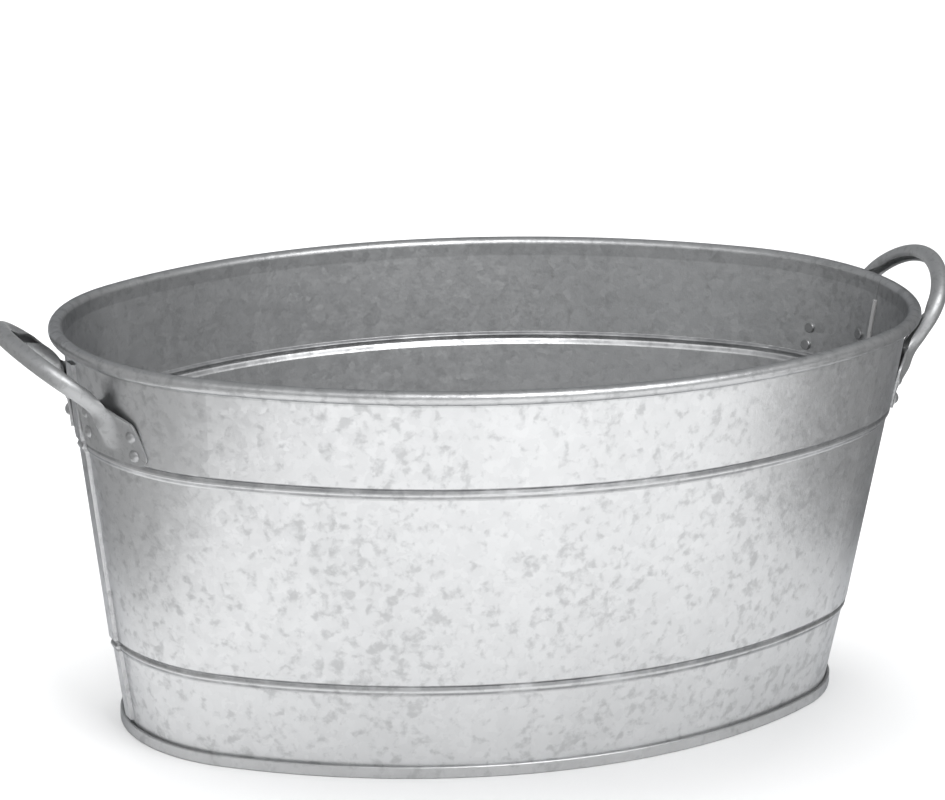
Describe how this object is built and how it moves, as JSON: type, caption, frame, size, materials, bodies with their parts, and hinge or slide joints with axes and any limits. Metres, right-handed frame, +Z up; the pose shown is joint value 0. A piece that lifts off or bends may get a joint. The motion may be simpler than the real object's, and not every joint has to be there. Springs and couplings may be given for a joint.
{
  "type": "ice bucket",
  "caption": "Oval galvanised steel ice bucket with rolled rim, two swaged beads, seamed bottom and a riveted strap handle at each end.",
  "frame": {"origin": "on the floor under the middle of the whole object's length and width, handles included", "axes": "+Z up, X along the bucket's long axis from handle to handle, Y across it"},
  "size_m": [0.5314, 0.3144, 0.2374],
  "materials": {
    "body_sheet": "hot-dip galvanised sheet, soft sheen with mottled zinc spangle",
    "handle_steel": "galvanised rolled strip, darker and smoother than the body",
    "steel_wire": "plain galvanised wire, hidden in the rim",
    "rivet_steel": "dull zinc-plated rivets",
    "sealant": "grey elastic seam sealant"
  },
  "bodies": {
    "root": {"bottom_pan": "body_sheet", "bottom_seam_sealant": "sealant", "handle_left": "handle_steel", "handle_right": "handle_steel", "rim_wire": "steel_wire", "rivet_left_back_lower_inner": "rivet_steel", "rivet_left_back_lower_outer": "rivet_steel", "rivet_left_back_upper_inner": "rivet_steel", "rivet_left_back_upper_outer": "rivet_steel", "rivet_left_front_lower_inner": "rivet_steel", "rivet_left_front_lower_outer": "rivet_steel", "rivet_left_front_upper_inner": "rivet_steel", "rivet_left_front_upper_outer": "rivet_steel", "rivet_right_back_lower_inner": "rivet_steel", "rivet_right_back_lower_outer": "rivet_steel", "rivet_right_back_upper_inner": "rivet_steel", "rivet_right_back_upper_outer": "rivet_steel", "rivet_right_front_lower_inner": "rivet_steel", "rivet_right_front_lower_outer": "rivet_steel", "rivet_right_front_upper_inner": "rivet_steel", "rivet_right_front_upper_outer": "rivet_steel", "side_seam_sealant_left": "sealant", "side_seam_sealant_right": "sealant", "wall_back_panel": "body_sheet", "wall_front_panel": "body_sheet"}
  },
  "joints": []
}
